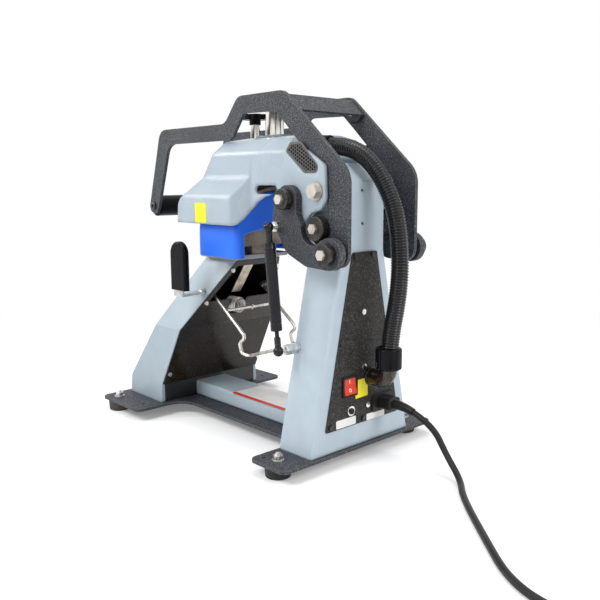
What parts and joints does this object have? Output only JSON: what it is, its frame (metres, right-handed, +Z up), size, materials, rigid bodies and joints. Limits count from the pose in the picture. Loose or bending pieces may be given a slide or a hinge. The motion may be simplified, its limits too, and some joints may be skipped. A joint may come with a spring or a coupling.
{
  "type": "hat heat press",
  "caption": "Clamshell hat heat press: saddle platen on a leaning pedestal, hinged heated head with toggle handle, gas spring and wire hold-down, ribbed conduit and mains lead.",
  "frame": {"origin": "bottom centre of the machine without its mains cord, on the table", "axes": "+Z up, +Y to the rear panel, +X to the right of a person at the handle"},
  "size_m": [0.533, 1.0195, 0.543],
  "materials": {
    "body_paint": "satin powder coat",
    "speckled_black": "fine textured powder coat",
    "gloss_black_sheet": "gloss",
    "foot_rubber": "matt",
    "zinc_fastener": "bright zinc",
    "oiled_steel": "black oxide",
    "strap_steel": "bright",
    "platen_metal": "heat-browned cast",
    "blue_rubber": "satin",
    "chrome_steel": "polished",
    "gloss_black_plastic": "gloss",
    "red_plastic": "gloss",
    "matt_black_plastic": "matt",
    "gas_black": "gloss"
  },
  "bodies": {
    "frame": {"base_plate": "speckled_black", "rubber_feet": "foot_rubber", "foot_studs": "zinc_fastener", "frame_bolts": "zinc_fastener", "spine_tube": "body_paint", "pedestal_shell": "body_paint", "pedestal_cover": "gloss_black_sheet", "pedestal_screws": "zinc_fastener", "pedestal_top_plate": "body_paint", "spring_strap": "strap_steel", "spring_anchor": "zinc_fastener", "bail_spring": "zinc_fastener", "lower_platen": "platen_metal", "platen_cover": "blue_rubber", "column": "body_paint", "rear_cover": "speckled_black", "cover_screws": "zinc_fastener", "switch_housing": "gloss_black_plastic", "breaker_barrel": "chrome_steel", "power_inlet": "matt_black_plastic", "appliance_plug": "matt_black_plastic", "power_cord": "matt_black_plastic", "mains_plug": "matt_black_plastic", "conduit_elbow": "zinc_fastener", "gland_nut": "matt_black_plastic", "conduit_hose": "matt_black_plastic", "pivot_shaft": "oiled_steel", "pivot_caps": "oiled_steel", "pivot_bolts": "zinc_fastener", "shaft_spacers": "oiled_steel", "hinge_shaft": "oiled_steel", "hinge_bolts": "zinc_fastener", "gas_lower_stud": "zinc_fastener"},
    "head": {"head_housing": "body_paint", "vent_grilles": "speckled_black", "hose_fitting": "matt_black_plastic", "guide_pad": "body_paint", "guide_cylinder": "chrome_steel", "upper_pins": "oiled_steel", "upper_bolts": "zinc_fastener"},
    "platen": {"upper_platen": "platen_metal"},
    "knob": {"pressure_spindle": "chrome_steel", "star_knob": "gloss_black_plastic"},
    "arms": {"arm_right": "speckled_black", "arm_left": "speckled_black", "handle_bar": "gloss_black_plastic", "arm_screws": "zinc_fastener", "cross_brace": "speckled_black", "lower_pins": "oiled_steel", "lower_bolts": "zinc_fastener"},
    "links": {"link_right": "speckled_black", "link_left": "speckled_black", "gas_upper_stud": "zinc_fastener"},
    "gas_rod": {"gas_rod": "chrome_steel"},
    "gas_tube": {"gas_tube": "gas_black"},
    "hold_down": {"wire_bail": "zinc_fastener", "hold_lever": "zinc_fastener", "lever_grip": "gloss_black_plastic"},
    "rocker": {"power_rocker": "red_plastic"},
    "breaker_button": {"breaker_button": "gloss_black_plastic"}
  },
  "joints": [
    {"name": "handle_pivot", "type": "hinge", "parent": "frame", "child": "arms", "pos_m": [0, 0.202, 0.349], "axis": [-1, 0, 0], "range_deg": [0, 60]},
    {"name": "head_hinge", "type": "hinge", "parent": "frame", "child": "head", "pos_m": [0, 0.198, 0.4], "axis": [-1, 0, 0], "range_deg": [0, 23.2], "deforming": ["conduit_hose"]},
    {"name": "link_swing", "type": "hinge", "parent": "head", "child": "links", "pos_m": [0, 0.15, 0.389], "axis": [-1, 0, 0], "range_deg": [0, 5]},
    {"name": "gas_rod_swing", "type": "hinge", "parent": "frame", "child": "gas_rod", "pos_m": [0.113, 0.154, 0.172], "axis": [1, 0, 0], "range_deg": [0, 4.2]},
    {"name": "gas_tube_slide", "type": "slide", "parent": "gas_rod", "child": "gas_tube", "axis": [0, -0.1061, 0.9944], "range_m": [0, 0.033]},
    {"name": "knob_turn", "type": "hinge", "parent": "head", "child": "knob", "pos_m": [0, -0.028, 0.5], "axis": [0, 0, 1], "range_deg": [0, 1440]},
    {"name": "platen_slide", "type": "slide", "parent": "head", "child": "platen", "axis": [0, 0, 1], "range_m": [0, 0.006]},
    {"name": "bail_swing", "type": "hinge", "parent": "frame", "child": "hold_down", "pos_m": [0, -0.083, 0.229], "axis": [1, 0, 0], "range_deg": [0, 38], "stiffness_Nm_per_rad": 0.6, "springref_deg": -22.92, "deforming": ["bail_spring"]},
    {"name": "rocker_tilt", "type": "hinge", "parent": "frame", "child": "rocker", "pos_m": [0.031, 0.2185, 0.117], "axis": [1, 0, 0], "range_deg": [-16, 0]},
    {"name": "breaker_press", "type": "slide", "parent": "frame", "child": "breaker_button", "axis": [0, -1, 0], "range_m": [0, 0.0025], "stiffness_N_per_m": 200}
  ],
  "couplings": [
    {"joint": "head_hinge", "follows": "handle_pivot", "ratio": 0.3843},
    {"joint": "link_swing", "follows": "handle_pivot", "ratio": 0.0823},
    {"joint": "gas_rod_swing", "follows": "handle_pivot", "ratio": 0.0686},
    {"joint": "gas_tube_slide", "follows": "handle_pivot", "m_per_rad": 0.0312},
    {"joint": "knob_turn", "follows": "platen_slide", "rad_per_m": 4188}
  ]
}
